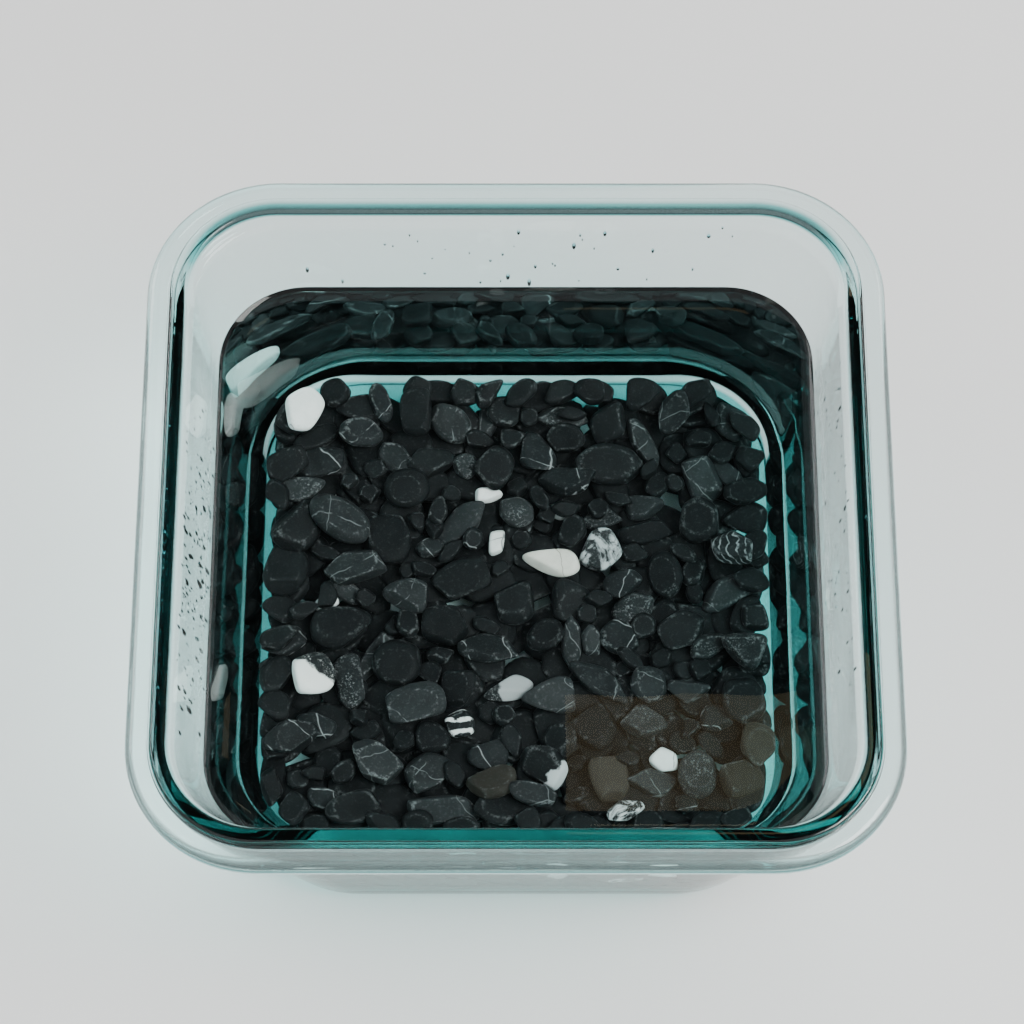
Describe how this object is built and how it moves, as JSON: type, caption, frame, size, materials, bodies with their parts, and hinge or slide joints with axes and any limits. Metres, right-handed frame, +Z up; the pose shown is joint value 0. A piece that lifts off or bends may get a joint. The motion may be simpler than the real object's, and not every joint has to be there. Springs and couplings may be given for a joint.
{
  "type": "dish of tumbled stones in water",
  "caption": "Square glass dish with rounded corners and an outer flange, two thirds full of water over a bed of small flat black, grey, veined and white tumbled stones.",
  "frame": {"origin": "on the table under the middle of the dish", "axes": "+Z up out of the dish, +X to the right along the front wall, +Y from the front wall to the back wall"},
  "size_m": [0.1812, 0.1812, 0.085],
  "materials": {
    "dish_glass": "gloss",
    "water": "gloss",
    "stone_black": "matte",
    "stone_grey": "matte",
    "stone_veined": "matte",
    "stone_speckled": "matte",
    "stone_white": "satin",
    "stone_cream": "satin",
    "stone_marbled": "satin",
    "stone_warm": "matte"
  },
  "bodies": {
    "dish": {"glass_dish": "dish_glass", "water": "water", "floor_front_left": "stone_black", "floor_front_right": "stone_black", "floor_back_left": "stone_black", "floor_back_right": "stone_black", "middle_front_left": "stone_black", "middle_front_right": "stone_black", "middle_back_left": "stone_black", "middle_back_right": "stone_black", "gap_front_left": "stone_black", "gap_front_right": "stone_black", "gap_back_left": "stone_black", "gap_back_right": "stone_black", "black_pebbles": "stone_black", "grey_pebbles": "stone_grey", "veined_pebbles": "stone_veined", "speckled_pebbles": "stone_speckled", "small_white_pebbles": "stone_white", "warm_grey_pebbles": "stone_warm"},
    "white_oval": {"white_oval": "stone_white"},
    "black_oblong": {"black_oblong": "stone_black"},
    "grey_leaf": {"grey_leaf": "stone_grey"},
    "round_black": {"round_black": "stone_black"},
    "grey_oval": {"grey_oval": "stone_grey"},
    "long_grey": {"long_grey": "stone_grey"},
    "grey_wedge": {"grey_wedge": "stone_grey"},
    "grey_oblong": {"grey_oblong": "stone_grey"},
    "marbled_grey": {"marbled_grey": "stone_marbled"},
    "cream_drop": {"cream_drop": "stone_cream"},
    "black_oval": {"black_oval": "stone_black"},
    "striped_grey": {"striped_grey": "stone_veined"},
    "marbled_white": {"marbled_white": "stone_marbled"},
    "grey_slab": {"grey_slab": "stone_grey"},
    "veined_lens": {"veined_lens": "stone_veined"},
    "grey_broad": {"grey_broad": "stone_grey"},
    "striped_white": {"striped_white": "stone_marbled"},
    "pale_lens": {"pale_lens": "stone_speckled"},
    "quartz_wedge": {"quartz_wedge": "stone_speckled"},
    "grey_round": {"grey_round": "stone_grey"},
    "grey_cornered": {"grey_cornered": "stone_grey"},
    "veined_wedge": {"veined_wedge": "stone_veined"},
    "quartz_egg": {"quartz_egg": "stone_speckled"},
    "white_ringed": {"white_ringed": "stone_marbled"}
  },
  "joints": [
    {"name": "white_oval_lift", "type": "slide", "parent": "dish", "child": "white_oval", "axis": [0, 0, 1], "range_m": [0, 0.1], "deforming": ["water"]},
    {"name": "black_oblong_lift", "type": "slide", "parent": "dish", "child": "black_oblong", "axis": [0, 0, 1], "range_m": [0, 0.1], "deforming": ["water"]},
    {"name": "grey_leaf_lift", "type": "slide", "parent": "dish", "child": "grey_leaf", "axis": [0, 0, 1], "range_m": [0, 0.1], "deforming": ["water"]},
    {"name": "round_black_lift", "type": "slide", "parent": "dish", "child": "round_black", "axis": [0, 0, 1], "range_m": [0, 0.1], "deforming": ["water"]},
    {"name": "grey_oval_lift", "type": "slide", "parent": "dish", "child": "grey_oval", "axis": [0, 0, 1], "range_m": [0, 0.1], "deforming": ["water"]},
    {"name": "long_grey_lift", "type": "slide", "parent": "dish", "child": "long_grey", "axis": [0, 0, 1], "range_m": [0, 0.1], "deforming": ["water"]},
    {"name": "grey_wedge_lift", "type": "slide", "parent": "dish", "child": "grey_wedge", "axis": [0, 0, 1], "range_m": [0, 0.1], "deforming": ["water"]},
    {"name": "grey_oblong_lift", "type": "slide", "parent": "dish", "child": "grey_oblong", "axis": [0, 0, 1], "range_m": [0, 0.1], "deforming": ["water"]},
    {"name": "marbled_grey_lift", "type": "slide", "parent": "dish", "child": "marbled_grey", "axis": [0, 0, 1], "range_m": [0, 0.1], "deforming": ["water"]},
    {"name": "cream_drop_lift", "type": "slide", "parent": "dish", "child": "cream_drop", "axis": [0, 0, 1], "range_m": [0, 0.1], "deforming": ["water"]},
    {"name": "black_oval_lift", "type": "slide", "parent": "dish", "child": "black_oval", "axis": [0, 0, 1], "range_m": [0, 0.1], "deforming": ["water"]},
    {"name": "striped_grey_lift", "type": "slide", "parent": "dish", "child": "striped_grey", "axis": [0, 0, 1], "range_m": [0, 0.1], "deforming": ["water"]},
    {"name": "marbled_white_lift", "type": "slide", "parent": "dish", "child": "marbled_white", "axis": [0, 0, 1], "range_m": [0, 0.1], "deforming": ["water"]},
    {"name": "grey_slab_lift", "type": "slide", "parent": "dish", "child": "grey_slab", "axis": [0, 0, 1], "range_m": [0, 0.1], "deforming": ["water"]},
    {"name": "veined_lens_lift", "type": "slide", "parent": "dish", "child": "veined_lens", "axis": [0, 0, 1], "range_m": [0, 0.1], "deforming": ["water"]},
    {"name": "grey_broad_lift", "type": "slide", "parent": "dish", "child": "grey_broad", "axis": [0, 0, 1], "range_m": [0, 0.1], "deforming": ["water"]},
    {"name": "striped_white_lift", "type": "slide", "parent": "dish", "child": "striped_white", "axis": [0, 0, 1], "range_m": [0, 0.1], "deforming": ["water"]},
    {"name": "pale_lens_lift", "type": "slide", "parent": "dish", "child": "pale_lens", "axis": [0, 0, 1], "range_m": [0, 0.1], "deforming": ["water"]},
    {"name": "quartz_wedge_lift", "type": "slide", "parent": "dish", "child": "quartz_wedge", "axis": [0, 0, 1], "range_m": [0, 0.1], "deforming": ["water"]},
    {"name": "grey_round_lift", "type": "slide", "parent": "dish", "child": "grey_round", "axis": [0, 0, 1], "range_m": [0, 0.1], "deforming": ["water"]},
    {"name": "grey_cornered_lift", "type": "slide", "parent": "dish", "child": "grey_cornered", "axis": [0, 0, 1], "range_m": [0, 0.1], "deforming": ["water"]},
    {"name": "veined_wedge_lift", "type": "slide", "parent": "dish", "child": "veined_wedge", "axis": [0, 0, 1], "range_m": [0, 0.1], "deforming": ["water"]},
    {"name": "quartz_egg_lift", "type": "slide", "parent": "dish", "child": "quartz_egg", "axis": [0, 0, 1], "range_m": [0, 0.1], "deforming": ["water"]},
    {"name": "white_ringed_lift", "type": "slide", "parent": "dish", "child": "white_ringed", "axis": [0, 0, 1], "range_m": [0, 0.1], "deforming": ["water"]}
  ]
}
